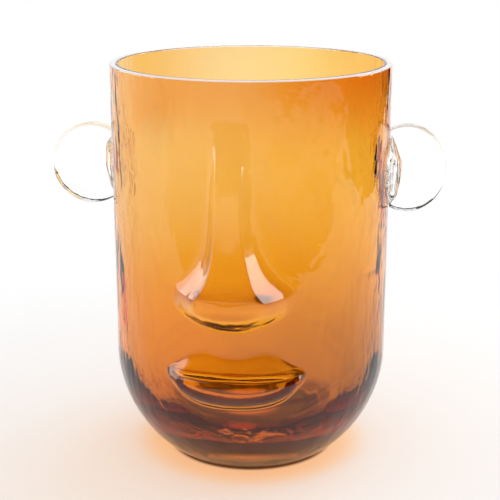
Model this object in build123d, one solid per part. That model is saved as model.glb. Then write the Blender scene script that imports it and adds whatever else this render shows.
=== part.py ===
from build123d import *

import math
import os
from dataclasses import dataclass

# Face vase: a straight-walled glass vessel with a rounded, flat-footed bottom. A nose and a mouth
# stand out of the front wall in relief. The inside of the wall follows the nose, as blowing into a
# mould leaves it, while the glass fills the smaller lips. The wall is cased glass: a thin amber
# lining, blown first, and a thicker clear casing gathered over it. The two are fused, and ground
# flat together at the rim. A disc of solid clear glass is stuck on at each side as an ear, with a
# root where it was dropped on the wall.
# Frame: millimetres, origin at the centre of the foot, +Z up the axis. The face looks along -Y,
# the left ear of the picture lies on -X and the right one on +X.

# Vessel, outside
body_radius = 85.0
body_height = 245.0
foot_radius = 50.0
shoulder_height = 66.5  # where the straight wall passes into the bowl
foot_edge_round = 2.0
rim_edge_round = 1.0

# Clear casing
casing_wall = 3.6
casing_floor = 14.0
casing_shoulder_rise = 2.0  # how much higher the bowl starts on its inside
casing_floor_radius = 42.0

# Amber lining
lining_wall = 1.6
lining_floor = 3.0
lining_shoulder_rise = 2.0
lining_floor_radius = 38.0
inner_rim_round = 0.6

# Nose, as it stands out of the wall
nose_tip_height = 125.0
nose_root_drop = 37.0  # its root lies this far below the rim
nose_base_height = 97.5
nose_reach = 16.5
nose_half_width = 34.5
nose_tip_offset = -1.2  # the nose leans a little: this far along the wall from the middle, at the tip
nose_root_offset = -2.0  # and this far at the root

# Mouth
mouth_height = 73.2
mouth_half_width = 40.5  # along the wall, from the middle to a corner
upper_lip_height = 13.0
upper_lip_reach = 5.2
lower_lip_height = 25.0
lower_lip_reach = 8.8

# Left ear: a disc on edge, and the root that it was pinched out of
left_ear_half_width = 25.0
left_ear_half_height = 25.0
left_ear_offset = 99.5  # from the vessel's axis to the middle of the disc
left_ear_drop = 64.5  # from the rim down to the middle of the disc
left_root_half_width = 13.0
left_root_half_height = 15.5
left_root_reach = 4.5

# Right ear, made by hand like the left one and not quite its twin
right_ear_half_width = 23.5
right_ear_half_height = 26.5
right_ear_offset = 95.5
right_ear_drop = 63.0
right_root_half_width = 17.5
right_root_half_height = 19.5
right_root_reach = 5.8

# Both ears
ear_thickness = 10.0
ear_edge_round = 1.4
root_edge_round = 1.6

# Making
overrun = 6.0  # how far a shape runs past the face that it is cut at
relief_depth = 16.0  # how far the shapes of the nose and the lips reach back into the wall
relief_skirt = 2.5  # how far the relief's flanks run on under the wall's surface
side_thinning_share = 0.6  # of a layer's thickness is what the relief loses sideways

# Level slices through the nose, from the root down to the base. Way to the root (above the tip)
# or to the base (below it), then half-width at the wall, half-width of the ridge and reach.
nose_upper_shares = [
    (1.10, 0.30, 0.205, -0.10),
    (1.00, 0.32, 0.205, 0.08),
    (0.90, 0.34, 0.205, 0.18),
    (0.78, 0.36, 0.205, 0.27),
    (0.59, 0.40, 0.205, 0.39),
    (0.40, 0.435, 0.215, 0.53),
    (0.28, 0.475, 0.23, 0.64),
    (0.17, 0.58, 0.26, 0.76),
    (0.09, 0.73, 0.31, 0.87),
    (0.03, 0.88, 0.38, 0.96),
]
nose_lower_shares = [
    (0.04, 0.96, 0.44, 1.00),
    (0.25, 0.95, 0.46, 0.96),
    (0.50, 0.82, 0.40, 0.84),
    (0.72, 0.58, 0.28, 0.60),
    (0.90, 0.32, 0.16, 0.26),
    (1.02, 0.14, 0.08, -0.06),
]
# The flank of a slice: place from the wall to the ridge's edge, and share of the rise reached there.
nose_flank_shares = [(0.45, 0.30), (0.9, 0.85)]
nose_crown_shares = (0.55, 0.985)  # place on the ridge's half-width, and share of the rise there

# Upright slices through a lip, from the middle to a corner: way along the wall, middle height above
# the mouth line and half-height, both as shares of the lip's height, and reach.
upper_lip_shares = [
    (0.0, 0.315, 0.546, 0.90),
    (0.18, 0.338, 0.569, 0.96),
    (0.40, 0.423, 0.638, 1.0),
    (0.66, 0.354, 0.508, 0.86),
    (0.88, 0.177, 0.254, 0.50),
    (1.03, 0.10, 0.13, -0.10),
]
lower_lip_shares = [
    (0.0, -0.43, 0.55, 1.0),
    (0.33, -0.41, 0.53, 0.97),
    (0.60, -0.33, 0.45, 0.86),
    (0.80, -0.208, 0.312, 0.64),
    (0.94, -0.096, 0.184, 0.30),
    (1.03, -0.028, 0.092, -0.10),
]
# The front of such a slice, from its top down: place on the half-height, and share of the reach there.
# The upper lip stands out most low down, over the mouth, and the lower lip high up, just under it.
upper_lip_front_shares = [(0.55, 0.38), (0.10, 0.72), (-0.35, 1.0), (-0.75, 0.78)]
lower_lip_front_shares = [(0.72, 0.62), (0.27, 1.0), (-0.30, 0.92), (-0.75, 0.60)]

# The root of an ear flares towards the wall: way out to its end, and size there.
root_flare_shares = [(0.0, 1.12), (0.45, 1.0), (1.0, 0.90)]
root_skirt_share = 1.4  # its size where it has run on under the wall's surface


@dataclass
class Turning:
    """A turned surface of the vessel: a flat floor, a bowl arc that leaves the wall smoothly, and the wall."""

    radius: float
    shoulder: float
    floor: float
    floor_radius: float
    top: float

    def radius_at(self, height):
        """Radius at a height, on the straight wall or on the bowl's arc."""
        if height >= self.shoulder:
            return self.radius
        rise = self.shoulder - self.floor
        step_in = self.radius - self.floor_radius
        arc = (rise**2 + step_in**2) / (2 * step_in)
        return self.radius - arc + math.sqrt(arc**2 - (self.shoulder - height) ** 2)

    def filled(self):
        """The solid within the surface."""
        outline = Curve() + [
            Line((0, self.floor), (self.floor_radius, self.floor)),
            TangentArc((self.radius, self.shoulder), (self.floor_radius, self.floor), tangent=(0, -1)),
            Line((self.radius, self.shoulder), (self.radius, self.top)),
            Line((self.radius, self.top), (0, self.top)),
            Line((0, self.top), (0, self.floor)),
        ]
        return revolve(Plane.XZ * make_face(outline), Axis.Z)


outside = Turning(body_radius, shoulder_height, 0, foot_radius, body_height)
between = Turning(
    outside.radius - casing_wall,
    outside.shoulder + casing_shoulder_rise,
    casing_floor,
    casing_floor_radius,
    body_height + overrun,
)
inside = Turning(
    between.radius - lining_wall,
    between.shoulder + lining_shoulder_rise,
    between.floor + lining_floor,
    lining_floor_radius,
    body_height + overrun,
)


def nose_slice(turning, height, offset, half_width, half_ridge, reach):
    """Level slice through the nose: a crowned ridge and flanks that hollow out towards the wall."""
    wall_y = math.sqrt(turning.radius**2 - half_width**2)
    front_y = turning.radius + reach
    rise = front_y - wall_y
    foot = (half_width + relief_skirt / 2, wall_y - relief_skirt)
    flank = [
        (half_width + place * (half_ridge - half_width), wall_y + share * rise)
        for place, share in nose_flank_shares
    ]
    crown_place, crown_rise = nose_crown_shares
    crown = (half_ridge * crown_place, wall_y + crown_rise * rise)
    side = [foot, *flank, crown]
    front = [(x, -y) for x, y in side] + [(0, -front_y)] + [(-x, -y) for x, y in reversed(side)]
    back_y = wall_y - relief_depth
    outline = Curve() + [
        Spline(*front),
        Line((-foot[0], -foot[1]), (-foot[0], -back_y)),
        Line((-foot[0], -back_y), (foot[0], -back_y)),
        Line((foot[0], -back_y), (foot[0], -foot[1])),
    ]
    turn = math.degrees(offset / turning.radius)
    return Pos(0, 0, height) * (Rot(0, 0, turn) * make_face(outline))


def nose(turning):
    """The nose as a surface of the wall shows it, as one loft through its slices. It is narrower on a surface
    within the wall than outside."""
    narrowing = 1 - side_thinning_share * (outside.radius - turning.radius) / nose_half_width
    rise = body_height - nose_root_drop - nose_tip_height
    drop = nose_tip_height - nose_base_height
    lean = nose_root_offset - nose_tip_offset
    above = [
        (nose_tip_height + way * rise, nose_tip_offset + way * lean, *rest) for way, *rest in nose_upper_shares
    ]
    below = [(nose_tip_height - way * drop, nose_tip_offset, *rest) for way, *rest in nose_lower_shares]
    slices = [
        nose_slice(
            turning,
            height,
            offset,
            nose_half_width * wall_share * narrowing,
            nose_half_width * ridge_share * narrowing,
            nose_reach * reach_share,
        )
        for height, offset, wall_share, ridge_share, reach_share in above + below
    ]
    return loft(slices)


def lip_slice(front_shares, azimuth, middle, half_height, reach):
    """Upright slice through a lip, on the plane through the vessel's axis at an azimuth in degrees."""
    top = middle + half_height
    bottom = middle - half_height
    skirt = relief_skirt / 2
    rim = [(outside.radius_at(top) - relief_skirt, top + skirt)]
    for place, share in front_shares:
        height = middle + place * half_height
        rim.append((outside.radius_at(height) + share * reach, height))
    rim.append((outside.radius_at(bottom) - relief_skirt, bottom - skirt))
    back = outside.radius_at(bottom) - relief_depth
    outline = Curve() + [
        Spline(*rim),
        Line(rim[-1], (back, bottom - skirt)),
        Line((back, bottom - skirt), (back, top + skirt)),
        Line((back, top + skirt), rim[0]),
    ]
    return Rot(0, 0, azimuth - 90) * (Plane.XZ * make_face(outline))


def lip(shares, front_shares, height, reach):
    """A lip on the outside of the wall, as one loft from corner to corner."""
    half = [
        (
            math.degrees(way * mouth_half_width / outside.radius),
            mouth_height + middle_share * height,
            half_share * height,
            reach_share * reach,
        )
        for way, middle_share, half_share, reach_share in shares
    ]
    across = [(-azimuth, *rest) for azimuth, *rest in reversed(half[1:])] + half
    return loft([lip_slice(front_shares, *slice_values) for slice_values in across])


def face_relief():
    """Nose and lips together, as they stand out of the vessel."""
    upper = lip(upper_lip_shares, upper_lip_front_shares, upper_lip_height, upper_lip_reach)
    lower = lip(lower_lip_shares, lower_lip_front_shares, lower_lip_height, lower_lip_reach)
    return nose(outside) + upper + lower


def outside_form():
    """The whole vessel filled, with its foot and its rim rounded: what the ears are stuck on."""
    turned = outside.filled()
    foot_edge = turned.edges().filter_by(GeomType.CIRCLE).sort_by(Axis.Z)[0]
    turned = fillet(foot_edge, foot_edge_round)
    rim_edge = turned.edges().filter_by(GeomType.CIRCLE).sort_by(Axis.Z)[-1]
    return fillet(rim_edge, rim_edge_round) + face_relief()


def between_form():
    """Everything inside the clear casing: the amber lining and the space in it."""
    return between.filled() + nose(between)


def inside_form():
    """The space inside the vase."""
    return inside.filled() + nose(inside)


def amber_lining():
    """The coloured gather, open at the top, level with the casing and rounded on its inner edge."""
    ground_off = Pos(0, 0, body_height) * Cylinder(
        body_radius * 2, overrun * 2, align=(Align.CENTER, Align.CENTER, Align.MIN)
    )
    lining = between_form() - inside_form() - ground_off
    inner_edge = lining.edges().filter_by(GeomType.CIRCLE).group_by(Axis.Z)[-1].sort_by(SortBy.RADIUS)[0]
    return fillet(inner_edge, inner_rim_round)


def clear_casing(vessel):
    """The clear gather around the lining, with the thick base."""
    return vessel - between_form()


def root_of_ear(half_width, half_height, reach):
    """The flared root on the +X side of the vessel, running on into its wall."""
    levels = [(body_radius - overrun, root_skirt_share)]
    levels += [(body_radius + way * reach, size) for way, size in root_flare_shares]
    slices = [
        Plane(origin=(x, 0, 0), z_dir=(1, 0, 0), x_dir=(0, 1, 0)) * Ellipse(half_width * size, half_height * size)
        for x, size in levels
    ]
    root = loft(slices)
    return fillet(root.edges().sort_by(Axis.X)[-1], root_edge_round)


def ear(vessel, offset, drop, half_width, half_height, root):
    """A pinched disc of clear glass with its root, cut to the wall that they were stuck on."""
    disc = extrude(Plane.XZ * Ellipse(half_width, half_height), ear_thickness / 2, both=True)
    disc = fillet(disc.edges(), ear_edge_round)
    height = body_height - drop
    return Pos(offset, 0, height) * disc + Pos(0, 0, height) * root - vessel


def left_ear(vessel):
    """The ear on the left of the face, made on the +X side and mirrored across, with the wall it fits."""
    root = root_of_ear(left_root_half_width, left_root_half_height, left_root_reach)
    mirrored_vessel = mirror(vessel, Plane.YZ)
    made = ear(
        mirrored_vessel, left_ear_offset, left_ear_drop, left_ear_half_width, left_ear_half_height, root
    )
    return mirror(made, Plane.YZ)


def right_ear(vessel):
    """The ear on the right of the face."""
    root = root_of_ear(right_root_half_width, right_root_half_height, right_root_reach)
    return ear(
        vessel, right_ear_offset, right_ear_drop, right_ear_half_width, right_ear_half_height, root
    )


def main():
    """Make the four pieces and write each to its own file."""
    os.makedirs("parts", exist_ok=True)
    vessel = outside_form()
    pieces = {
        "amber_lining": amber_lining(),
        "clear_casing": clear_casing(vessel),
        "left_ear": left_ear(vessel),
        "right_ear": right_ear(vessel),
    }
    for name, piece in pieces.items():
        export_step(piece, f"parts/{name}.step")
        print(f"{name}: {piece.volume / 1000:.1f} cm3, {len(piece.solids())} solid")


main()
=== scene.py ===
# %% [markdown]
# # A face vase in amber cased glass
# The vase is a straight-walled vessel with a rounded bottom, a nose and a mouth blown out of its front and
# a disc of clear glass stuck on each side as an ear. Its wall is cased glass: a thin amber lining, blown
# first, and a thicker clear casing gathered over it. This lesson builds each gather as one closed surface
# worked out with numpy, because glass bends light by its true walls, and a sheet with no thickness can't.

import math
from dataclasses import dataclass, replace

import bpy
import numpy as np
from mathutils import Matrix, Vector


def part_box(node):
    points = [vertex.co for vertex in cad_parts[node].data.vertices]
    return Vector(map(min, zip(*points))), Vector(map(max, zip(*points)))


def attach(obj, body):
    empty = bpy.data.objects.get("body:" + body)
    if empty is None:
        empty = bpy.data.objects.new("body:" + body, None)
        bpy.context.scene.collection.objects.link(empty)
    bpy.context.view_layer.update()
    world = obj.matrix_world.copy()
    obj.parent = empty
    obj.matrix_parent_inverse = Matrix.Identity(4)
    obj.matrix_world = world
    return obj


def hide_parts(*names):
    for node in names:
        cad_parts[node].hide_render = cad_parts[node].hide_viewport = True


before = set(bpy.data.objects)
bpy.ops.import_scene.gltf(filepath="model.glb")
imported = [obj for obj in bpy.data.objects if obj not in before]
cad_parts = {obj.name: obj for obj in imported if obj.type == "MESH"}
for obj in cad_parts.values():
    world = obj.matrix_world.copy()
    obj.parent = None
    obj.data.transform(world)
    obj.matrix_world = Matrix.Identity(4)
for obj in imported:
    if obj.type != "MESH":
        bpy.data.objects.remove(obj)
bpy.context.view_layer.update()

# %% [markdown]
# ## The camera
# The photograph was taken from a little above and a little to the right, from about 0.78 m away. The camera
# comes first, so that everything after it can be judged through it. It looks at a point on the vase's axis,
# and a small shift puts the vase where the photograph has it in its frame.

# %% The camera
PICTURE_SIDE = 500  # pixels
SENSOR = 36.0  # millimetres, as Blender counts a camera's sensor
AIM_HEIGHT = 0.120
CAMERA_DISTANCE = 0.7844
CAMERA_ELEVATION = math.radians(16.4)
CAMERA_AZIMUTH = math.radians(7.0)
FOCAL_PIXELS = 1242.5
SHIFT_PIXELS = (-1.0, 9.9)


def make_camera():
    """A camera on a sphere round the aim: across by the azimuth's sine and towards the viewer by its cosine,
    both times the elevation's cosine, and up by the elevation's sine."""
    data = bpy.data.cameras.new("camera")
    data.sensor_width = SENSOR
    data.lens = FOCAL_PIXELS / PICTURE_SIDE * SENSOR
    data.shift_x, data.shift_y = (pixels / PICTURE_SIDE for pixels in SHIFT_PIXELS)
    camera = bpy.data.objects.new("camera", data)
    bpy.context.scene.collection.objects.link(camera)
    aim = Vector((0, 0, AIM_HEIGHT))
    level = math.cos(CAMERA_ELEVATION)
    across, back = level * math.sin(CAMERA_AZIMUTH), -level * math.cos(CAMERA_AZIMUTH)
    way = Vector((across, back, math.sin(CAMERA_ELEVATION)))
    camera.location = aim + CAMERA_DISTANCE * way
    camera.rotation_euler = (-way).to_track_quat("-Z", "Y").to_euler()
    bpy.context.scene.camera = camera
    return camera


camera = make_camera()
print("camera at", [round(v, 3) for v in camera.location], "lens", round(camera.data.lens, 1), "mm")

# %% [markdown]
# ## Sizes
# The frame gives the vessel's height and radius. The others are the walls, floors and bowl that the glass has
# inside, which the frame's boxes don't show, so they are named here, in metres.

# %% Sizes of the vessel and its turned surfaces
casing_low, casing_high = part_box("clear_casing")
body_height = casing_high[2]
body_radius = (casing_high[0] - casing_low[0]) / 2
SHOULDER = 0.0665
FOOT_RADIUS = 0.050
CASING_WALL, CASING_FLOOR, CASING_FLOOR_RADIUS = 0.0036, 0.014, 0.042
LINING_WALL, LINING_FLOOR, LINING_FLOOR_RADIUS = 0.0016, 0.003, 0.038
SHOULDER_RISE = 0.002
SEAM_GAP = 0.0001  # kept between the two gathers, so that their walls don't lie in one place
OUTER_UNEVENNESS, INNER_UNEVENNESS = 0.00010, 0.00022  # how far a hand-blown skin strays from true


@dataclass
class Skin:
    """One turned surface of the vessel: a flat floor, a bowl arc that leaves the wall smoothly, the wall."""

    radius: float
    shoulder: float
    floor: float
    floor_radius: float
    unevenness: float
    seed: int

    def arc(self):
        """Radius of the bowl's arc: through the floor's edge, and tangent to the wall at the shoulder."""
        rise, step_in = self.shoulder - self.floor, self.radius - self.floor_radius
        return (rise**2 + step_in**2) / (2 * step_in)

    def outline(self, count=400):
        """Radius and height of points from the middle of the floor, up the bowl, to the top of the wall."""
        arc = self.arc()
        lowest = math.asin((self.shoulder - self.floor) / arc)
        turn = np.linspace(lowest, 0, count)
        across = np.linspace(0, self.floor_radius, count)
        upward = np.linspace(self.shoulder, body_height, count)
        radius = [across, self.radius - arc + arc * np.cos(turn), np.full(count, self.radius)]
        height = [np.full(count, self.floor), self.shoulder - arc * np.sin(turn), upward]
        return np.concatenate(radius), np.concatenate(height)


outside = Skin(body_radius, SHOULDER, 0.0, FOOT_RADIUS, OUTER_UNEVENNESS, 11)
casing_inside = Skin(
    body_radius - CASING_WALL,
    SHOULDER + SHOULDER_RISE,
    CASING_FLOOR,
    CASING_FLOOR_RADIUS,
    INNER_UNEVENNESS,
    12,
)
lining_outside = replace(
    casing_inside, radius=casing_inside.radius - SEAM_GAP, floor=casing_inside.floor + SEAM_GAP
)
lining_inside = Skin(
    casing_inside.radius - LINING_WALL,
    SHOULDER + 2 * SHOULDER_RISE,
    CASING_FLOOR + LINING_FLOOR,
    LINING_FLOOR_RADIUS,
    INNER_UNEVENNESS,
    14,
)
print(f"vessel {2 * body_radius:.3f} m across, {body_height:.3f} m high, bowl arc {outside.arc():.4f} m")

# %% [markdown]
# ## The nose and the mouth
# Glass blown into a mould takes soft forms: no edge of the nose or the lips is sharp. Each form is a height
# over the wall, given as a function of the place along the wall and the height up it, and the forms join the
# wall and each other by a smooth maximum, which rounds the crease between them. The curves run through a few
# chosen places, as a mould maker's drawing would have them.


# %% Curves through chosen places, and smooth joins
def curve_through(places, values):
    """A natural cubic curve through the places, as a function of an array: each stretch is a cubic whose
    slope and bend match its neighbours', and past its ends the curve runs on straight."""
    order = np.argsort(places)
    x, y = np.asarray(places, float)[order], np.asarray(values, float)[order]
    step, rise = np.diff(x), np.diff(y) / np.diff(x)
    inner = np.diag(2 * (step[:-1] + step[1:])) + np.diag(step[1:-1], 1) + np.diag(step[1:-1], -1)
    bend = np.concatenate([[0], np.linalg.solve(inner, 6 * np.diff(rise)), [0]])

    def curve(at):
        i = np.clip(np.searchsorted(x, at) - 1, 0, len(step) - 1)
        inside = np.clip(at, x[0], x[-1])
        a, b, h = x[i + 1] - inside, inside - x[i], step[i]
        value = (bend[i] * a**3 + bend[i + 1] * b**3) / (6 * h)
        value += (y[i] / h - bend[i] * h / 6) * a + (y[i + 1] / h - bend[i + 1] * h / 6) * b
        slope = np.where(at < x[0], rise[0] - step[0] * bend[1] / 6, rise[-1] + step[-1] * bend[-2] / 6)
        return value + slope * (at - inside)

    return curve


def smooth_larger(a, b, width):
    """The larger of two heights, with the crease where they cross filled over this width: a sixth of the
    width times the cube of how near the two are, as a share of the width."""
    near = np.maximum(1 - np.abs(a - b) / width, 0)
    return np.maximum(a, b) + near**3 * width / 6


def smooth_smaller(a, b, width):
    """The smaller of two, rounded in the same way."""
    return -smooth_larger(-a, -b, width)


print("smooth larger of 1 and 1, over 0.6:", smooth_larger(1.0, 1.0, 0.6))

# %% [markdown]
# ### The nose
# Slice by slice it is a flat-backed block with a rounded ridge and hollow flanks. It widens and stands out
# more from the root down to the tip, and below the tip its ridge turns into a dome that runs under. How
# steep its flanks are decides where they mirror the softboxes, and its underside what is seen through it.

# %% The nose as a height over the wall
NOSE_TIP, NOSE_ROOT, NOSE_BASE = 0.125, 0.208, 0.1005
NOSE_REACH, NOSE_HALF_WIDTH = 0.0165, 0.0345
NOSE_TIP_OFFSET, NOSE_ROOT_OFFSET = -0.0012, -0.0020
# Way to the root (above the tip) or to the base (below it), half-width at the wall, of the ridge, and reach.
NOSE_UPPER_SHARES = [
    (1.18, 0.26, 0.14, -0.08),
    (1.08, 0.28, 0.16, 0.05),
    (0.98, 0.30, 0.175, 0.20),
    (0.88, 0.32, 0.18, 0.34),
    (0.76, 0.34, 0.185, 0.44),
    (0.59, 0.37, 0.19, 0.53),
    (0.40, 0.42, 0.20, 0.61),
    (0.28, 0.48, 0.22, 0.68),
    (0.17, 0.59, 0.255, 0.78),
    (0.09, 0.73, 0.31, 0.87),
    (0.03, 0.88, 0.38, 0.96),
]
NOSE_LOWER_SHARES = [
    (0.04, 0.96, 0.44, 1.00),
    (0.30, 0.96, 0.46, 0.98),
    (0.50, 0.88, 0.42, 0.92),
    (0.60, 0.80, 0.38, 0.78),
    (0.70, 0.69, 0.33, 0.58),
    (0.80, 0.55, 0.27, 0.37),
    (0.90, 0.38, 0.19, 0.14),
    (1.00, 0.20, 0.10, -0.12),
]
SIDE_THINNING = 0.6  # of a layer's thickness is what the relief loses sideways
RIDGE_ROUND = 0.10  # how soft the ridge's edges are, as a share of the rise
FLANK_HOLLOW = 1.15  # how much a flank hollows towards the wall, as a power of the way
CROWN = 0.05  # how much the ridge falls from its middle to its edge
UNDERSIDE_ROUND = 0.55  # of the way from tip to base is what the ridge takes to turn into a dome
DIVE = 1.2  # how fast the form dives under the wall past its half-width


def nose_curves():
    """Half-width, ridge, reach and sideways place of the nose, each a curve over the height."""
    up, down = NOSE_ROOT - NOSE_TIP, NOSE_TIP - NOSE_BASE
    rows = [(NOSE_TIP + way * up, *shares) for way, *shares in NOSE_UPPER_SHARES]
    rows += [(NOSE_TIP - way * down, *shares) for way, *shares in NOSE_LOWER_SHARES]
    height, half, ridge, reach = zip(*rows)
    lean = NOSE_ROOT_OFFSET - NOSE_TIP_OFFSET
    offset = [NOSE_TIP_OFFSET + max(0, (z - NOSE_TIP) / up) * lean for z in height]
    curves = [curve_through(height, shares) for shares in (half, ridge, reach, offset)]
    return min(height), max(height), *curves


NOSE_LOWEST, NOSE_HIGHEST, nose_half, nose_ridge, nose_reach, nose_offset = nose_curves()
FACING = 0.3  # cosine of the azimuth up to which the wall is the vase's front
print(f"nose from {NOSE_BASE:.3f} to {NOSE_ROOT:.3f} m up, {2 * NOSE_HALF_WIDTH:.3f} m wide")


def nose_height(skin, azimuth, height):
    """Height of the nose over a skin's wall: a crowned ridge and two flanks that fall to the wall, joined by
    a smooth minimum, less the depth at which the round wall lies behind the slice's own flat back. Past its
    half-width the form dives under the wall."""
    thinned = 1 - SIDE_THINNING * (body_radius - skin.radius) / NOSE_HALF_WIDTH
    level = np.clip(height, NOSE_LOWEST, NOSE_HIGHEST)
    half = NOSE_HALF_WIDTH * thinned * nose_half(level)
    ridge = NOSE_HALF_WIDTH * thinned * nose_ridge(level)
    reach = NOSE_REACH * np.clip(nose_reach(height), -2, 1)
    side = skin.radius * np.sin(azimuth - nose_offset(height) / skin.radius)
    back = np.sqrt(skin.radius**2 - half**2)
    rise = skin.radius + np.maximum(reach, 0) - back
    down_flank = np.minimum((np.abs(side) - ridge) / (half - ridge), 1)
    hollow = np.maximum(1 - down_flank, 0) ** FLANK_HOLLOW
    flank = np.where(down_flank > 0, hollow, 1 - FLANK_HOLLOW * down_flank)
    crown = 1 - CROWN * np.minimum(side / ridge, 3) ** 2
    dome = 1 - np.minimum(side / half, 2) ** 2
    under = np.clip((NOSE_TIP - height) / (NOSE_TIP - NOSE_BASE) / UNDERSIDE_ROUND, 0, 1)
    dive = DIVE * np.maximum(np.abs(side) - half, 0) - np.minimum(reach, 0)
    front = back + rise * ((1 - under) * smooth_smaller(crown, flank, RIDGE_ROUND) + under * dome) - dive
    wall = np.sqrt(np.maximum(skin.radius**2 - side**2, 0))
    return np.where(np.cos(azimuth) > FACING, (front - wall) * np.cos(azimuth), -2 * NOSE_REACH)


# %% [markdown]
# ### The lips
# Each lip swells out along one line and falls off to its two edges. The upper lip falls off evenly, with the
# dip in its middle. The lower one is full right up to the mouth's line, and rolls under in a longer curve.

# %% The lips as heights over the wall
MOUTH_HEIGHT, MOUTH_HALF_WIDTH = 0.0732, 0.0405
UPPER_REACH, LOWER_REACH = 0.0052, 0.0096
# Way from the middle to a corner, then where the lip stands out most, its upper and its lower edge, all
# measured in metres from the mouth's line, and how far it stands out as a share of its reach.
UPPER_LIP = [
    (0.0, 0.0016, 0.0112, -0.0030, 0.90),
    (0.18, 0.0017, 0.0118, -0.0030, 0.96),
    (0.40, 0.0018, 0.0138, -0.0028, 1.0),
    (0.66, 0.0016, 0.0112, -0.0020, 0.86),
    (0.88, 0.0015, 0.0056, -0.0010, 0.50),
    (1.03, 0.0013, 0.0030, -0.0004, 0.0),
]
LOWER_LIP = [
    (0.0, -0.0042, 0.0022, -0.0198, 1.0),
    (0.33, -0.0041, 0.0022, -0.0190, 0.97),
    (0.60, -0.0036, 0.0022, -0.0166, 0.86),
    (0.80, -0.0028, 0.0022, -0.0122, 0.66),
    (0.94, -0.0020, 0.0022, -0.0068, 0.36),
    (1.03, -0.0006, 0.0016, -0.0030, 0.0),
]
UPPER_POWERS, LOWER_POWERS = (1.25, 1.0, 2.0, 0.8), (3.0, 1.0, 2.2, 1.0)
LOWER_INSET = 1.8  # how much more the relief loses at a lip's lower edge than sideways
LIP_DIVE = 1.0  # how fast a lip's form dives under the wall past its edge, as a share of its reach
CORNER_END, CORNER_DIVE = 1.02, 4  # where the corners end, as a share of the half-width, and the dive there
LEAST_SIDE = 0.0008  # the shortest way from a lip's peak to its edge


def lip_height(skin, azimuth, height, lip, reach, powers):
    """Height of a lip over a skin's wall. It stands out most along one line, and falls from there to its
    upper and to its lower edge: the reach times one less a power of the way, all raised to a second power."""
    way, *columns = zip(*lip)
    ways = [*(-w for w in way[:0:-1]), *way]
    peak, top, bottom, out = (curve_through(ways, [*column[:0:-1], *column]) for column in columns)
    along = np.clip(azimuth * body_radius / MOUTH_HALF_WIDTH, -1.5, 1.5)
    inset = SIDE_THINNING * (body_radius - skin.radius)
    middle = MOUTH_HEIGHT + peak(along)
    above = np.maximum(top(along) - peak(along) - inset, LEAST_SIDE)
    below = np.maximum(peak(along) - bottom(along) - inset * LOWER_INSET, LEAST_SIDE)
    is_above = height > middle
    far = np.abs(height - middle) / np.where(is_above, above, below)
    first, second = (np.where(is_above, powers[i], powers[i + 2]) for i in (0, 1))
    rise = np.maximum(out(along), 0) * np.maximum(1 - far**first, 0) ** second
    dive = LIP_DIVE * np.clip(far - 1, 0, 4) + CORNER_DIVE * np.maximum(np.abs(along) - CORNER_END, 0)
    return reach * (rise - dive)


print(f"mouth {MOUTH_HEIGHT:.4f} m up, {2 * MOUTH_HALF_WIDTH:.3f} m wide")

# %% [markdown]
# ### The face, outside and inside
# The breath presses the glass into the mould, so the inside follows the face, but softer and lower, as the
# glass pools a little in every hollow. How closely it follows decides which way light leaves the glass, and
# so where the face looks bright and where it looks dark.

# %% The whole relief
NOSE_CREASE, LIP_CREASE, MOUTH_CREASE = 0.0044, 0.0020, 0.0014
INSIDE_CREASES = 1.6  # how much wider the creases are on the inside
INSIDE_SHARES = (0.65, 1.0, 0.8)  # of the reach of nose, upper and lower lip, which the inside follows


def relief(skin, azimuth, height):
    """Nose and lips over a skin's wall, none of it below the wall: smooth maxima of the forms, in turn. On
    the inside each form is scaled by its share, and every crease is wider."""
    soft, shares = (1, (1, 1, 1)) if skin == outside else (INSIDE_CREASES, INSIDE_SHARES)
    nose = nose_height(skin, azimuth, height) * shares[0]
    upper = lip_height(skin, azimuth, height, UPPER_LIP, UPPER_REACH, UPPER_POWERS) * shares[1]
    lower = lip_height(skin, azimuth, height, LOWER_LIP, LOWER_REACH, LOWER_POWERS) * shares[2]
    mouth = smooth_larger(smooth_larger(upper, lower, MOUTH_CREASE * soft), 0 * height, LIP_CREASE * soft)
    return smooth_larger(nose, 0 * height, NOSE_CREASE * soft) + mouth


tip = relief(outside, np.zeros(1), np.array([NOSE_TIP]))[0]
print(f"the tip of the nose stands out {1000 * tip:.1f} mm")


# %% [markdown]
# ## The walls
# A gather of glass is one closed skin: up its outside, over the rim and down its inside. So each is one
# profile, carried round the axis, with both ends closed on the axis. Where the profile turns a corner, a
# running mean along it rounds the corner, as grinding and fire do. Hand-blown walls are never quite even:
# a few long, seeded waves move each skin a little, and they are what makes edges seen through it wander.


# %% Profiles and waves
def rounded(radius, height, reach, spacing):
    """A profile resampled at even steps, with its corners rounded by a running mean of this reach. Past its
    ends, which lie on the axis, the profile goes on as its own mirror image."""
    length = np.concatenate([[0], np.cumsum(np.hypot(np.diff(radius), np.diff(height)))])
    even = np.arange(0, length[-1], spacing)
    ring = [np.interp(even, length, values) for values in (radius, height)]
    kernel = np.hanning(2 * int(reach / spacing) + 3)[1:-1]
    kernel /= kernel.sum()
    pad = len(kernel) // 2
    start = [np.concatenate([-ring[0][pad:0:-1], ring[0], -ring[0][-2 : -pad - 2 : -1]])]
    start += [np.concatenate([ring[1][pad:0:-1], ring[1], ring[1][-2 : -pad - 2 : -1]])]
    return [np.convolve(values, kernel, "valid") for values in start]


WAVE_COUNT, MOST_TURNS, SLOWEST_CLIMB, FASTEST_CLIMB = 14, 16, 15, 120  # climbs are in radians a metre


def waves(skin, azimuth, height):
    """Seeded unevenness of a skin: a sum of sines, each with a whole number of waves round the vessel."""
    dice = np.random.default_rng(skin.seed)
    total = 0 * azimuth + 0 * height
    for _ in range(WAVE_COUNT):
        turns = int(dice.integers(1, MOST_TURNS))
        climb = dice.uniform(SLOWEST_CLIMB, FASTEST_CLIMB) * dice.choice([-1, 1])
        total = total + np.sin(turns * azimuth + climb * height + dice.uniform(0, 2 * math.pi))
    return skin.unevenness * total / math.sqrt(WAVE_COUNT)


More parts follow.
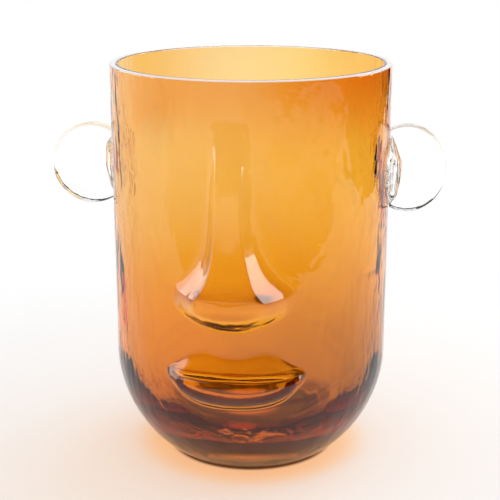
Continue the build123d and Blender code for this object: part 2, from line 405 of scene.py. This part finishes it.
FACE_TURN = math.radians(42)  # how far the face reaches to each side
FACE_COLUMNS, REST_COLUMNS = 133, 112


def azimuths():
    """Azimuths once round the vessel, close together over the face and wider apart at the back."""
    front = np.linspace(-FACE_TURN, FACE_TURN, FACE_COLUMNS)
    rest = np.linspace(FACE_TURN, 2 * math.pi - FACE_TURN, REST_COLUMNS)[1:-1]
    return np.concatenate([front, rest])


print("columns round the vessel:", len(azimuths()))


# %% [markdown]
# ### From a profile to a closed gather
# The rows of a surface lie close together where it bends most, over the rim and along the face, and far
# apart on the floor. Unevenness dies out at the foot and the rim, which are ground flat, and all sideways
# motion dies out at the axis, so the skins close there.

# %% One closed gather
PROFILE_STEP, ROW_STEP = 0.0001, 0.0012
RIM_DEPTH = 0.0006  # the ground rim's own skin ends this far below its top
DENSITY_HEIGHTS = [0, 0.02, 0.045, 0.215, 0.23, 0.2435, 0.2445]
DENSITIES = [1 / 2.2, 1 / 1.6, 1, 1, 1 / 2.5, 1 / 2.5, 4]  # of the rows at these heights, as a share
FLOOR_DENSITY, FLOOR_SHARE_OF_RADIUS = 1 / 4.0, 0.9
STILL_RIM, STILL_REACH, AXIS_REACH = 0.004, 0.03, 0.03


def gather_surface(outer, inner, rounding):
    """Grid of points of a closed gather: the profile up the outer skin and down the inner one, turned round
    the axis. Rows are spread by the sum of density times length. Relief and waves move a point sideways, by
    the skin that it lies on. Also says which rows are fused to the other gather."""
    up_radius, up_height = outer.outline()
    down_radius, down_height = (values[::-1] for values in inner.outline())
    corners = np.concatenate([up_radius, down_radius]), np.concatenate([up_height, down_height])
    radius, height = rounded(*corners, rounding, PROFILE_STEP)
    top = int(np.argmax(height + 1e-6 * radius))
    length = np.concatenate([[0], np.cumsum(np.hypot(np.diff(radius), np.diff(height)))])
    dense = np.interp(height, DENSITY_HEIGHTS, DENSITIES)
    dense = np.where(radius < FLOOR_SHARE_OF_RADIUS * inner.floor_radius, FLOOR_DENSITY, dense)
    amount = np.concatenate([[0], np.cumsum(0.5 * (dense[1:] + dense[:-1]) * np.diff(length))]) / ROW_STEP
    rows = np.interp(np.linspace(0, amount[-1], int(amount[-1])), amount, np.arange(len(radius)))
    radius, height = (np.interp(rows, np.arange(len(values)), values) for values in (radius, height))
    is_outer = (rows <= top)[:, None]
    fused = (rows > top) if outer is outside else (rows <= top)
    fused &= height < body_height - RIM_DEPTH
    azimuth = azimuths()[None, :]
    z = height[:, None] + 0 * azimuth
    moved = np.where(is_outer, relief(outer, azimuth, z), relief(inner, azimuth, z))
    uneven = np.where(is_outer, waves(outer, azimuth, z), waves(inner, azimuth, z))
    still = np.clip((body_height - STILL_RIM - z) / STILL_REACH, 0, 1) * np.clip(z / STILL_REACH, 0, 1)
    swell = np.clip(radius[:, None] / AXIS_REACH, 0, 1)
    out = radius[:, None] + moved * swell + uneven * still * swell
    return np.stack([out * np.sin(azimuth), -out * np.cos(azimuth), z], axis=-1), fused


def closed_mesh(name, grid, fused=None):
    """A mesh of a grid of rings: the first and last rings shrink to single points, rings join their
    neighbours by quads, and each end is closed by a fan of triangles. Rings that are fused to another gather
    take the second finish."""
    rings, columns = grid.shape[:2]
    body = grid[1:-1].reshape(-1, 3)
    verts = np.concatenate([grid[:1, 0], body, grid[-1:, 0]])
    ring = np.arange(columns)
    after = (ring + 1) % columns
    base = 1 + np.arange(rings - 3)[:, None] * columns
    above = base + columns
    quads = np.stack([base + ring, base + after, above + after, above + ring], axis=-1).reshape(-1, 4)
    last = 1 + (rings - 3) * columns
    first_fan = np.stack([0 * ring, 1 + after, 1 + ring], axis=-1)
    last_fan = np.stack([last + ring, last + after, 0 * ring + len(verts) - 1], axis=-1)
    mesh = bpy.data.meshes.new(name)
    mesh.vertices.add(len(verts))
    mesh.vertices.foreach_set("co", verts.astype(np.float32).ravel())
    corners = np.concatenate([quads.ravel(), first_fan.ravel(), last_fan.ravel()])
    starts = np.concatenate([np.arange(len(quads)) * 4, len(quads) * 4 + np.arange(2 * columns) * 3])
    mesh.loops.add(len(corners))
    mesh.loops.foreach_set("vertex_index", corners.astype(np.int32))
    mesh.polygons.add(len(starts))
    mesh.polygons.foreach_set("loop_start", starts.astype(np.int32))
    if fused is not None:
        bands = np.repeat(fused[1:-2] & fused[2:-1], columns)
        finish = np.concatenate([bands, np.full(columns, fused[0]), np.full(columns, fused[-1])])
        mesh.polygons.foreach_set("material_index", finish.astype(np.int32))
    mesh.update(calc_edges=True)
    mesh.validate()
    mesh.shade_smooth()
    piece = bpy.data.objects.new(name, mesh)
    bpy.context.scene.collection.objects.link(piece)
    return piece


def enclosed(piece):
    """Volume inside a closed mesh, in cubic centimetres: the sum over triangles of corner · (corner × corner)
    over six. It is above nought where the faces point outwards."""
    mesh = piece.data
    mesh.calc_loop_triangles()
    points = np.empty(len(mesh.vertices) * 3)
    mesh.vertices.foreach_get("co", points)
    corners = np.empty(len(mesh.loop_triangles) * 3, int)
    mesh.loop_triangles.foreach_get("vertices", corners)
    a, b, c = points.reshape(-1, 3)[corners.reshape(-1, 3).T]
    return float(np.einsum("ij,ij->", a, np.cross(b, c)) / 6 * 1e6)


CASING_ROUNDING, LINING_ROUNDING = 0.0011, 0.0007
casing = closed_mesh("clear_casing_glass", *gather_surface(outside, casing_inside, CASING_ROUNDING))
lining = closed_mesh("amber_lining_glass", *gather_surface(lining_outside, lining_inside, LINING_ROUNDING))
for piece in (casing, lining):
    print(piece.name, len(piece.data.loop_triangles), "triangles", round(enclosed(piece), 1), "cm3")

# %% [markdown]
# ## The ears
# Each ear is a bit of clear glass dropped hot on the wall, and pinched flat to a disc that stands on edge.
# The drop leaves a root, a low pad that hugs the round wall, and the tongs leave flats on it. Disc and pad
# melt into each other, so the ear is one surface. It is given by a rounded distance: below nought inside the
# glass, above nought outside. From a point in the root, every direction meets that surface once, so a grid
# of directions, each walked outwards by the distance itself until it is nought, makes one closed skin.

# %% The ears as rounded distances


@dataclass
class Ear:
    """One ear: its side (-1 left, 1 right), the disc's half-sizes and place, and the root's half-sizes and
    reach."""

    side: int
    half_width: float
    half_height: float
    offset: float
    height: float
    root_half_width: float
    root_half_height: float
    root_reach: float
    seed: int


left = Ear(-1, 0.0250, 0.0250, 0.0995, 0.1805, 0.0130, 0.0155, 0.0045, 21)
right = Ear(1, 0.0235, 0.0265, 0.0955, 0.1820, 0.0175, 0.0195, 0.0058, 22)
EAR_HALF_THICKNESS, EAR_EDGE_ROUND, ROOT_EDGE_ROUND = 0.0050, 0.0014, 0.0016
MELT = 0.0045  # how softly disc and root run into each other
ROOT_FLARE = 0.22  # how much wider the root is at the wall than at its end, as a share
# Flats round a root: how many, how unevenly spread, their slopes, and their starts as a share of its width.
ROOT_FACETS, FACET_SPREAD, FACET_SLOPES, FACET_STARTS = 11, 0.4, (0.15, 0.55), (0.15, 0.55)
EAR_GAP = 0.0001  # kept between ear and wall, as between the two gathers


def rounded_slab(sideways, through, edge):
    """Distance to a slab with rounded edges, from the distances to its rim and to its faces."""
    a, b = sideways + edge, through + edge
    return np.minimum(np.maximum(a, b), 0) + np.hypot(np.maximum(a, 0), np.maximum(b, 0)) - edge


def root_facets(ear, y, z):
    """How much seeded flats take off a root: the largest of slope * (way out in the flat's direction - its
    start)."""
    dice = np.random.default_rng(ear.seed)
    upward = (z - ear.height) * ear.root_half_width / ear.root_half_height
    taken = 0 * y * z
    for facet in range(ROOT_FACETS):
        turn = 2 * math.pi * (facet + dice.uniform(-FACET_SPREAD, FACET_SPREAD)) / ROOT_FACETS
        slope, start = dice.uniform(*FACET_SLOPES), dice.uniform(*FACET_STARTS) * ear.root_half_width
        away = y * math.cos(turn) + upward * math.sin(turn)
        taken = np.maximum(taken, slope * (away - start))
    return taken


def ear_distance(ear, x, y, z):
    """Distance to an ear that stands on the +X side: disc and root joined by a smooth minimum, and cut at
    the wall."""
    oval = np.hypot((x - ear.offset) / ear.half_width, (z - ear.height) / ear.half_height)
    to_rim = (oval - 1) * (ear.half_width + ear.half_height) / 2
    disc = rounded_slab(to_rim, np.abs(y) - EAR_HALF_THICKNESS, EAR_EDGE_ROUND)
    out = (x - body_radius) / ear.root_reach
    flare = 1 + ROOT_FLARE * (0.5 - np.clip(out, 0, 1))
    pad = np.hypot(y / ear.root_half_width, (z - ear.height) / ear.root_half_height) / flare
    to_side = (pad - 1) * (ear.root_half_width + ear.root_half_height) / 2
    to_end = x - body_radius - ear.root_reach + root_facets(ear, y, z)
    root = rounded_slab(to_side, to_end, ROOT_EDGE_ROUND)
    wall = body_radius + EAR_GAP + OUTER_UNEVENNESS - np.hypot(x, y)
    return np.maximum(smooth_smaller(disc, root, MELT), wall)


EAR_ROWS, EAR_COLUMNS, EAR_STEPS = 170, 200, 90
STEP_SHARE = 0.8  # of the distance is what each step goes, so that none goes through the surface
ROW_CROWDING = 2.2  # how strongly the rows crowd towards the disc's rim


def ear_surface(ear):
    """Grid of points of an ear, seen from the middle of its root: elevation out of the disc's plane by row,
    angle in that plane by column, and the distance walked along each direction until it meets the surface."""
    row = np.linspace(-1, 1, EAR_ROWS)
    elevation = (np.sign(row) * np.abs(row) ** ROW_CROWDING * math.pi / 2)[:, None]
    turn = np.linspace(0, 2 * math.pi, EAR_COLUMNS, endpoint=False)[None, :]
    way = np.stack(
        [np.cos(elevation) * np.cos(turn), np.sin(elevation) + 0 * turn, np.cos(elevation) * np.sin(turn)]
    )
    start = np.array([body_radius + ear.root_reach / 2, 0, ear.height])[:, None, None]
    far = np.zeros(way.shape[1:])
    for _ in range(EAR_STEPS):
        far = far - STEP_SHARE * ear_distance(ear, *(start + far * way))
    points = np.moveaxis(start + far * way, 0, -1)
    points[..., 0] *= ear.side
    return points[::-1] if ear.side > 0 else points


left_ear = closed_mesh("left_ear_glass", ear_surface(left))
right_ear = closed_mesh("right_ear_glass", ear_surface(right))
for piece in (left_ear, right_ear):
    print(piece.name, len(piece.data.loop_triangles), "triangles", round(enclosed(piece), 1), "cm3")

# %% [markdown]
# ## Finishes written as expressions
# A material is a tree of nodes. Drawing a tree by hand hides its maths, so here a value that varies over a
# surface is wrapped in a small class, and an expression on such values adds the Math nodes that it needs.


# %% Nodes, and values as expressions
def put(tree, socket, value):
    """Give an input a link or a plain value."""
    if isinstance(value, Value):
        value = value.socket
    if isinstance(value, bpy.types.NodeSocket):
        tree.links.new(value, socket)
    elif value is not None:
        socket.default_value = value


def add_node(tree, kind, settings=None, sockets=None):
    """A new node: its settings first, then the values or links of its inputs, by name or number."""
    node = tree.nodes.new(kind)
    for name, value in (settings or {}).items():
        setattr(node, name, value)
    for name, value in (sockets or {}).items():
        put(tree, node.inputs[name], value)
    return node


class Value:
    """A number that varies over a surface. Sums, products and powers of it add Math nodes."""

    def __init__(self, tree, socket):
        self.tree, self.socket = tree, socket

    def math(self, operation, *values):
        node = add_node(self.tree, "ShaderNodeMath", {"operation": operation}, dict(enumerate(values)))
        return Value(self.tree, node.outputs[0])

    def __add__(self, other):
        return self.math("ADD", self, other)

    def __sub__(self, other):
        return self.math("SUBTRACT", self, other)

    def __rsub__(self, other):
        return self.math("SUBTRACT", other, self)

    def __mul__(self, other):
        return self.math("MULTIPLY", self, other)

    def __pow__(self, other):
        return self.math("POWER", self, other)

    __radd__, __rmul__ = __add__, __mul__

    def between(self, low, high):
        """0 below low, 1 above high, and a soft step from one to the other."""
        settings = {"interpolation_type": "SMOOTHSTEP"}
        sockets = {"Value": self, "From Min": low, "From Max": high}
        node = add_node(self.tree, "ShaderNodeMapRange", settings, sockets)
        return Value(self.tree, node.outputs["Result"])

    def most(self, other):
        """The larger of the two."""
        return self.math("MAXIMUM", self, other)


print("operators:", [name for name in vars(Value) if name.startswith("__r") or name.startswith("__a")])

# %% [markdown]
# ### Finishes
# Every glass here starts from the same few things: the place on the piece, cloudy noise for the unevenness of
# a skin, scattered points for seeds, a colour that runs into another, and a bump. One class holds them.


# %% A finish in the making
class Finish:
    """A material in the making: its tree, the place on the piece, and the nodes that finishes are made of."""

    def __init__(self, name):
        self.material = bpy.data.materials.new(name)
        self.material.use_nodes = True
        self.tree = self.material.node_tree
        self.tree.nodes.clear()
        self.place = add_node(self.tree, "ShaderNodeTexCoord").outputs["Object"]
        parts = self.node("ShaderNodeSeparateXYZ", None, {0: self.place})
        self.x, self.y, self.z = (Value(self.tree, output) for output in parts.outputs)

    def node(self, kind, settings=None, sockets=None):
        return add_node(self.tree, kind, settings, sockets)

    def rays(self, *names):
        """For each kind of ray, 1 where the light that is followed is of that kind, else 0."""
        path = self.node("ShaderNodeLightPath")
        return [Value(self.tree, path.outputs[name]) for name in names]

    def unevenness(self, scale, detail, climb, depth):
        """Height of a cloudy skin in metres: noise from 0 to 1 times its depth. A climb below one draws it
        out upwards."""
        sockets = {0: self.place, 1: (1, 1, climb)}
        place = self.node("ShaderNodeVectorMath", {"operation": "MULTIPLY"}, sockets).outputs["Vector"]
        sockets = {"Vector": place, "Scale": scale, "Detail": detail}
        return Value(self.tree, self.node("ShaderNodeTexNoise", None, sockets).outputs["Fac"]) * depth

    def cells(self, scale):
        """Distance, in cells, to the nearest of many scattered points."""
        node = self.node("ShaderNodeTexVoronoi", None, {"Vector": self.place, "Scale": scale})
        return Value(self.tree, node.outputs[0])

    def mix(self, share, first, second):
        """A colour that goes from the first to the second as share goes from 0 to 1."""
        node = self.node("ShaderNodeMix", {"data_type": "RGBA"}, {"Factor": share})
        put(self.tree, node.inputs[6], first)
        put(self.tree, node.inputs[7], second)
        return node.outputs[2]

    def bump(self, height):
        """The way that the surface faces where its skin has this height, in metres."""
        sockets = {"Height": height, "Strength": 1.0, "Distance": 1.0}
        return self.node("ShaderNodeBump", None, sockets).outputs["Normal"]

    def surface(self, shader):
        output = self.node("ShaderNodeOutputMaterial")
        self.tree.links.new(shader, output.inputs["Surface"])
        return self.material


print("a finish offers:", [name for name in vars(Finish) if not name.startswith("_")])

# %% [markdown]
# ## Glass
# Clear glass bends light by its index, 1.5, and mirrors about a twenty-fifth of what meets it head on. Where
# two gathers are melted together nothing bends, so the skins that meet there have an index of 1 and only
# carry a colour. A lamp's light can't be followed through bending glass to the table, so for shadow rays, and
# for light that the table scatters, the glass is a plain tinted window. That lets a warm glow fall round the
# foot. The rim's top is finely ground, which scatters light: there the glass is mixed with plain white.

# %% Glass as a shader
GLASS_INDEX, FUSED_INDEX = 1.5, 1.0
CLEAR, GROUND = (1.0, 1.0, 1.0, 1), (0.90, 0.90, 0.90, 1)
CLEAR_WINDOW, AMBER_WINDOW = (0.98, 0.98, 0.98, 1), (0.95, 0.62, 0.30, 1)


def glass(finish, colour, window, ground=0.0, normal=None, index=GLASS_INDEX):
    """Glass of this colour, white by the share to which it is ground, and in its place a tinted window for
    shadow rays and scattered light."""
    sockets = {"Base Color": colour, "Roughness": 0.0, "IOR": index, "Normal": normal}
    sockets["Transmission Weight"] = 1.0
    body = finish.node("ShaderNodeBsdfPrincipled", {"distribution": "MULTI_GGX"}, sockets)
    chalk = finish.node("ShaderNodeBsdfDiffuse", None, {"Color": GROUND})
    body = finish.node("ShaderNodeMixShader", None, {0: ground, 1: body.outputs[0], 2: chalk.outputs[0]})
    pane = finish.node("ShaderNodeBsdfTransparent", None, {"Color": window})
    shadow, scattered = finish.rays("Is Shadow Ray", "Is Diffuse Ray")
    sockets = {0: shadow.most(scattered), 1: body.outputs[0], 2: pane.outputs[0]}
    return finish.surface(finish.node("ShaderNodeMixShader", None, sockets).outputs[0])


# %% [markdown]
# ## The clear glass
# Hot glass that was rolled and blown keeps long shallow waves, drawn out upwards, and a grain that only shows
# in highlights. The sides of the vase, which the paddles didn't smooth, ripple more, and they break up the
# edge of every reflection there. A few seeds, pits where small bubbles burst, are scattered over it. Low in
# the bowl the glass is tinted dark: a painted shade, for the darkness of the thick base, where light is
# trapped and the table beneath lies in shade.

# %% The clear skin, and the clear side of the seam
# How fine the waves are, how many finer ones they carry, how far they are drawn out upwards, and how deep.
CLEAR_WAVES, CLEAR_GRAIN = (60, 2.0, 0.40, 0.00085), (300, 1.0, 1.6, 0.00002)
SIDE_RIPPLES, SIDES = (150, 1.0, 0.45, 0.00035), (0.025, 0.050)
SEED_SCALE, SEED_RADIUS, SEED_DEPTH = 34, 0.0009, 0.00030  # a few centimetres apart
# painted shade: a dark tint low in the bowl, and the heights between which it fades out upwards
BASE_SHADE, BASE_SHADE_HEIGHTS = (0.10, 0.065, 0.05, 1), (0.006, 0.018)
FOOT_FACE = (0.0005, 0.0020)  # the flat face of the foot lies below, and stays clear
GROUND_HEIGHTS, GROUND_SHARE = (0.2441, 0.2447), 0.65


def clear_finish():
    """Height of the skin: waves and grain, ripples by how far out to a side, less a cone at every seed."""
    finish = Finish("clear_glass")
    height = finish.unevenness(*CLEAR_WAVES) + finish.unevenness(*CLEAR_GRAIN)
    aside = (finish.x * finish.x) ** 0.5
    height = height + finish.unevenness(*SIDE_RIPPLES) * aside.between(*SIDES)
    height = height - (1 - finish.cells(SEED_SCALE).between(0.0, SEED_RADIUS * SEED_SCALE)) * SEED_DEPTH
    # painted shade: the skin is tinted dark from just above the foot's face up to the lower bowl
    painted_shade = finish.z.between(*FOOT_FACE) * (1 - finish.z.between(*BASE_SHADE_HEIGHTS))
    ground = finish.z.between(*GROUND_HEIGHTS) * GROUND_SHARE
    return glass(finish, finish.mix(painted_shade, CLEAR, BASE_SHADE), CLEAR_WINDOW, ground, finish.bump(height))


def clear_seam_finish():
    return glass(Finish("clear_seam"), CLEAR, CLEAR, index=FUSED_INDEX)


clear_glass, clear_seam = clear_finish(), clear_seam_finish()
print("clear glass:", len(clear_glass.node_tree.nodes), "nodes, seam:", len(clear_seam.node_tree.nodes))

# %% [markdown]
# ## The amber glass
# The amber gather is thin, so its colour is worked into the skin where it meets the clear one: light takes
# it up at each passage. It is darkest and reddest in the bowl and pales upwards: partly the amber's own
# colour, partly painted shade, for the shaded table seen through the lower glass. Across the front it is
# paler to the left, a painted reflection, and high in front to the right it is deeper, a painted dark
# reflection. It is deeper again high at the back, to both sides.

# %% The amber seam, and the lining's free skin
# Each colour of the seam comes with the places, in metres, between which it comes in.
LINING_WAVES, LINING_GRAIN = (45, 1.0, 0.5, 0.00040), (220, 1.0, 1.6, 0.00002)
# the upper amber: paler to the left, a painted reflection, and richer to the right
PALE_REFLECTION_AMBER, AMBER_RICH, REFLECTION_ACROSS = (0.92, 0.48, 0.10, 1), (0.87, 0.40, 0.030, 1), (-0.06, 0.07)
# deeper amber high in front to the right: a painted dark reflection
RIM_DARK_REFLECTION, RIM_UP = (0.63, 0.10, 0.001, 1), (0.190, 0.248)
RIM_ACROSS, RIM_FRONT = (-0.10, 0.08), (-0.04, 0.02)
AMBER_BACK, BACK_UP = (0.84, 0.27, 0.015, 1), (0.185, 0.210)
BACK_DEPTH, BACK_ASIDE = (0.0, 0.03), (0.01, 0.08)
AMBER_MIDDLE, MIDDLE_UP = (0.90, 0.34, 0.010, 1), (0.09, 0.18)
# the deep colour low in the bowl: partly the amber's own, partly painted shade
DEEP_AMBER_AND_SHADE, DEEP_UP = (0.48, 0.15, 0.035, 1), (0.0, 0.085)


def amber_seam_finish():
    """Colour by place: deep, then middle, then the upper colour as the height grows."""
    finish = Finish("amber_seam")
    # painted reflection: the upper amber is paler to the left
    side_reflection = finish.mix(finish.x.between(*REFLECTION_ACROSS), PALE_REFLECTION_AMBER, AMBER_RICH)
    # painted dark reflection: deeper amber high in front, more to the right
    rim = finish.z.between(*RIM_UP) * finish.x.between(*RIM_ACROSS) * (1 - finish.y.between(*RIM_FRONT))
    near, far = BACK_ASIDE
    aside = finish.x.between(near, far).most(1 - finish.x.between(-far, -near))
    back = finish.z.between(*BACK_UP) * finish.y.between(*BACK_DEPTH) * aside
    high = finish.mix(back, finish.mix(rim, side_reflection, RIM_DARK_REFLECTION), AMBER_BACK)
    upper = finish.mix(finish.z.between(*MIDDLE_UP), AMBER_MIDDLE, high)
    # darker towards the bowl: partly the amber's own colour, partly painted shade
    colour = finish.mix(finish.z.between(*DEEP_UP), DEEP_AMBER_AND_SHADE, upper)
    return glass(finish, colour, AMBER_WINDOW, index=FUSED_INDEX)


def lining_finish():
    finish = Finish("lining_skin")
    height = finish.unevenness(*LINING_WAVES) + finish.unevenness(*LINING_GRAIN)
    return glass(finish, CLEAR, CLEAR_WINDOW, normal=finish.bump(height))


lining_skin, amber_seam = lining_finish(), amber_seam_finish()
print("lining skin:", len(lining_skin.node_tree.nodes), "nodes, amber seam:", len(amber_seam.node_tree.nodes))

# %% [markdown]
# ## Piece by piece
# Each surface stands in for one solid of the packed part, rides on its body, and says which kind of glass it
# is. The second finish of casing and lining is the one that their seam takes.

# %% Finishes, bodies and slots
for piece, node, materials, slot in (
    (casing, "clear_casing", (clear_glass, clear_seam), "clear_glass"),
    (lining, "amber_lining", (lining_skin, amber_seam), "amber_glass"),
    (left_ear, "left_ear", (clear_glass,), "clear_glass"),
    (right_ear, "right_ear", (clear_glass,), "clear_glass"),
):
    for material in materials:
        piece.data.materials.append(material)
    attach(piece, "root")
    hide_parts(node)
    print(piece.name, "stands for", node, "in", slot)

# %% [markdown]
# ## The table
# The vase stands on a white table. Its far parts run out into plain white for the camera. Near the vase it is
# a little grey, since a lamp behind adds its own light there. Seen through the glass, it is in the vase's own
# shade, painted ochre to the left and darker to the right. Round the foot an amber glow is painted, for the
# light that the glass drops on it, and under the foot a painted shadow, as hardly any light comes in there.
# The table ends in front of the vase and to its right.
# That edge, mirrored in the wall, bounds the deeper amber field that the photograph shows.

# %% The table
TABLE_FAR = 6.0
TABLE_EDGE = [(-TABLE_FAR, -0.37), (-0.30, -0.37), (-0.10, -0.43), (0.10, -0.44), (0.27, -0.39)]
TABLE_EDGE += [(0.36, -0.355), (0.46, -0.305), (0.57, -0.25), (0.70, -0.245), (1.02, -0.23)]
TABLE_EDGE += [(1.06, -0.10), (0.82, 0.15), (0.70, 0.45), (0.70, TABLE_FAR)]
# Each colour comes with the distances from the axis between which it gives way to the next, or comes in.
TABLE_GREY, TABLE_WHITE, GREY_REACH = (0.80, 0.80, 0.80, 1), (1, 1, 1, 1), (0.2, 2.2)
SHADE_LEFT, SHADE_RIGHT, SHADE_REACH = (0.80, 0.61, 0.28, 1), (0.41, 0.34, 0.24, 1), (0.10, 0.62)
SHADE_ACROSS = (-0.10, 0.16)
# a painted pool of amber light on the table round the foot
PAINTED_GLOW, PAINTED_GLOW_REACH = (0.86, 0.70, 0.52, 1), (0.058, 0.080)
UNDER, UNDER_START, UNDER_END = (0.10, 0.05, 0.028, 1), (0.008, 0.026), (0.050, 0.054)
BACKDROP, BACKDROP_REACH = (1, 1, 1, 1), (0.22, 0.42)


def make_table():
    """A flat outline at height nought, with a matt finish that changes with the distance from the axis."""
    corners = [(x, y, 0) for x, y in [*TABLE_EDGE, (-TABLE_FAR, TABLE_FAR)]]
    mesh = bpy.data.meshes.new("table")
    mesh.from_pydata(corners, [], [tuple(range(len(corners)))])
    table = bpy.data.objects.new("table", mesh)
    bpy.context.scene.collection.objects.link(table)
    finish = Finish("white_table")
    far = (finish.x * finish.x + finish.y * finish.y) ** 0.5
    through, seen = finish.rays("Is Transmission Ray", "Is Camera Ray")
    plain = finish.mix(far.between(*GREY_REACH), TABLE_GREY, TABLE_WHITE)
    shaded = finish.mix(finish.x.between(*SHADE_ACROSS), SHADE_LEFT, SHADE_RIGHT)
    colour = finish.mix((1 - far.between(*SHADE_REACH)) * through, plain, shaded)
    # painted glow: amber round the foot
    colour = finish.mix(far.between(*PAINTED_GLOW_REACH), PAINTED_GLOW, colour)
    colour = finish.mix(far.between(*UNDER_START) * (1 - far.between(*UNDER_END)), colour, UNDER)
    sockets = {"Base Color": colour, "Roughness": 0.9, "Specular IOR Level": 0.0}
    matt = finish.node("ShaderNodeBsdfPrincipled", None, sockets)
    backdrop = finish.node("ShaderNodeEmission", None, {"Color": BACKDROP, "Strength": 1.0})
    sockets = {0: far.between(*BACKDROP_REACH) * seen, 1: matt.outputs[0], 2: backdrop.outputs[0]}
    mesh.materials.append(finish.surface(finish.node("ShaderNodeMixShader", None, sockets).outputs[0]))
    print("table edge:", len(corners), "corners")


make_table()

# %% [markdown]
# ## The room
# The room is white, and dark beyond the table's edge, in front and to the right: a vase of glass shows its
# form by the dark things that it mirrors and bends. Those parts are dark only for light that the glass
# mirrors or lets through, so the room lights the table evenly. A glimpse of lit floor in front lifts the
# mirror's lower part. A dark ceiling, seen only through the glass, draws the dark curves under nose and lips.

# %% The room
# Turns from straight ahead, in radians, to the right; heights as the sine of the way's rise.
FRONT_FROM, FRONT_TO = (-1.20, -1.05), (1.68, 1.80)
FLOOR_FROM, FLOOR_TO, FLOOR_SHARE = (-0.31, -0.14), (-0.08, 0.0), 0.8
FLOOR_END_TURN, FLOOR_END_RISE = (0.1, 0.6), (-0.17, -0.135)
RIGHT_FROM, MIRRORED_RIGHT_TO, MIRRORED_RIGHT_TOP = (1.50, 1.60), (2.80, 2.90), (-0.12, -0.04)
BENT_RIGHT_TO, BENT_RIGHT_TOP = (2.00, 2.15), (-0.20, -0.12)
CEILING_FROM, CEILING_TO = (-0.04, 0.02), (0.34, 0.44)
CEILING_GAP_FROM, CEILING_GAP_TO = (0.19, 0.21), (0.29, 0.32)
DARKNESS = 0.99


def make_room():
    """Light of the room by the way that is looked: one less the darkness of the larger of its dark parts."""
    world = bpy.data.worlds.new("studio")
    bpy.context.scene.world = world
    world.use_nodes = True
    tree = world.node_tree
    tree.nodes.clear()
    way = add_node(tree, "ShaderNodeTexCoord").outputs["Generated"]
    parts = add_node(tree, "ShaderNodeSeparateXYZ", None, {0: way})
    x, y, rise = (Value(tree, output) for output in parts.outputs)
    path = add_node(tree, "ShaderNodeLightPath")
    bent, through = (Value(tree, path.outputs[name]) for name in ("Is Glossy Ray", "Is Transmission Ray"))
    turn = x.math("ARCTAN2", x, 0 - y)
    front = turn.between(*FRONT_FROM) * (1 - turn.between(*FRONT_TO))
    floor = rise.between(*FLOOR_FROM) * (1 - rise.between(*FLOOR_TO)) * FLOOR_SHARE
    floor = floor * (1 - turn.between(*FLOOR_END_TURN) * rise.between(*FLOOR_END_RISE))
    right = turn.between(*RIGHT_FROM) * (1 - turn.between(*MIRRORED_RIGHT_TO))
    right = right * (1 - rise.between(*MIRRORED_RIGHT_TOP))
    near_right = turn.between(*RIGHT_FROM) * (1 - turn.between(*BENT_RIGHT_TO))
    near_right = near_right * (1 - rise.between(*BENT_RIGHT_TOP))
    gap = rise.between(*CEILING_GAP_FROM) * (1 - rise.between(*CEILING_GAP_TO))
    ceiling = rise.between(*CEILING_FROM) * (1 - gap) * (1 - rise.between(*CEILING_TO))
    dark = (front * (1 - floor)).most(right) * bent * (1 - through)
    dark = dark.most(near_right.most(ceiling) * through)
    level = 1 - dark * DARKNESS
    background = add_node(tree, "ShaderNodeBackground", None, {"Color": (1, 1, 1, 1), "Strength": level})
    output = add_node(tree, "ShaderNodeOutputWorld")
    tree.links.new(background.outputs[0], output.inputs["Surface"])
    print("room:", len(tree.nodes), "nodes")


make_room()

# %% [markdown]
# ## The lamps
# Two softboxes stand to the left and right, a little above the vase. Only mirrors show them: they give the
# bright strips along the nose, the lips and the wall's sides. A wide lamp high behind the vase lights the
# table alone. Part of its light comes through the glass, which tints it amber: the glow round the foot,
# which an amber glow painted on the table deepens.

# %% The lamps
SOFTBOX_DISTANCE, SOFTBOX_HEIGHT, SOFTBOX_ELEVATION = 1.3, 1.00, 21
# Azimuth in degrees, to the right of straight ahead, width in metres, and power in watts.
SOFTBOXES = {"right_softbox": (112, 0.9, 15.0), "left_softbox": (-95, 1.2, 11.0)}
BACK_LIGHT_SIDE, BACK_LIGHT_POWER, BACK_LIGHT_DISTANCE, BACK_LIGHT_WAY = 1.4, 9.0, 1.6, (0.44, 0.44, 0.80)


def make_lamp(name, size, power, way, target, distance):
    """An even lamp of this width and height, this far from the target along the way, turned to face it."""
    data = bpy.data.lights.new(name, "AREA")
    data.shape, data.energy = "RECTANGLE", power
    data.size, data.size_y = size
    lamp = bpy.data.objects.new(name, data)
    bpy.context.scene.collection.objects.link(lamp)
    lamp.location = target + distance * way
    lamp.rotation_euler = way.to_track_quat("Z", "Y").to_euler()
    lamp.visible_transmission = False
    print(name, "at", [round(v, 2) for v in lamp.location], power, "W")
    return lamp


for name, (azimuth, width, power) in SOFTBOXES.items():
    turn, lift = math.radians(azimuth), math.radians(SOFTBOX_ELEVATION)
    way = Vector((math.cos(lift) * math.sin(turn), -math.cos(lift) * math.cos(turn), math.sin(lift)))
    aim = Vector((0, 0, AIM_HEIGHT))
    make_lamp(name, (width, SOFTBOX_HEIGHT), power, way, aim, SOFTBOX_DISTANCE).visible_diffuse = False
way = Vector(BACK_LIGHT_WAY).normalized()
size = (BACK_LIGHT_SIDE, BACK_LIGHT_SIDE)
back_light = make_lamp("back_light", size, BACK_LIGHT_POWER, way, Vector(), BACK_LIGHT_DISTANCE)
back_light.visible_camera = back_light.visible_glossy = False

# %% [markdown]
# ## Colours as they are, and light that may go a long way
# The picture shows colours as written. Light that is caught in a thick wall meets its skins many times, and
# each meeting counts as a bounce, so many are let through before a ray is given up.

# %% The view and the bounces
MOST_BOUNCES, MOST_MIRRORINGS = 32, 12
scene = bpy.context.scene
scene.view_settings.view_transform = "Standard"
scene.cycles.max_bounces = scene.cycles.transmission_bounces = MOST_BOUNCES
scene.cycles.transparent_max_bounces = MOST_BOUNCES
scene.cycles.glossy_bounces = MOST_MIRRORINGS
print("view transform:", scene.view_settings.view_transform)
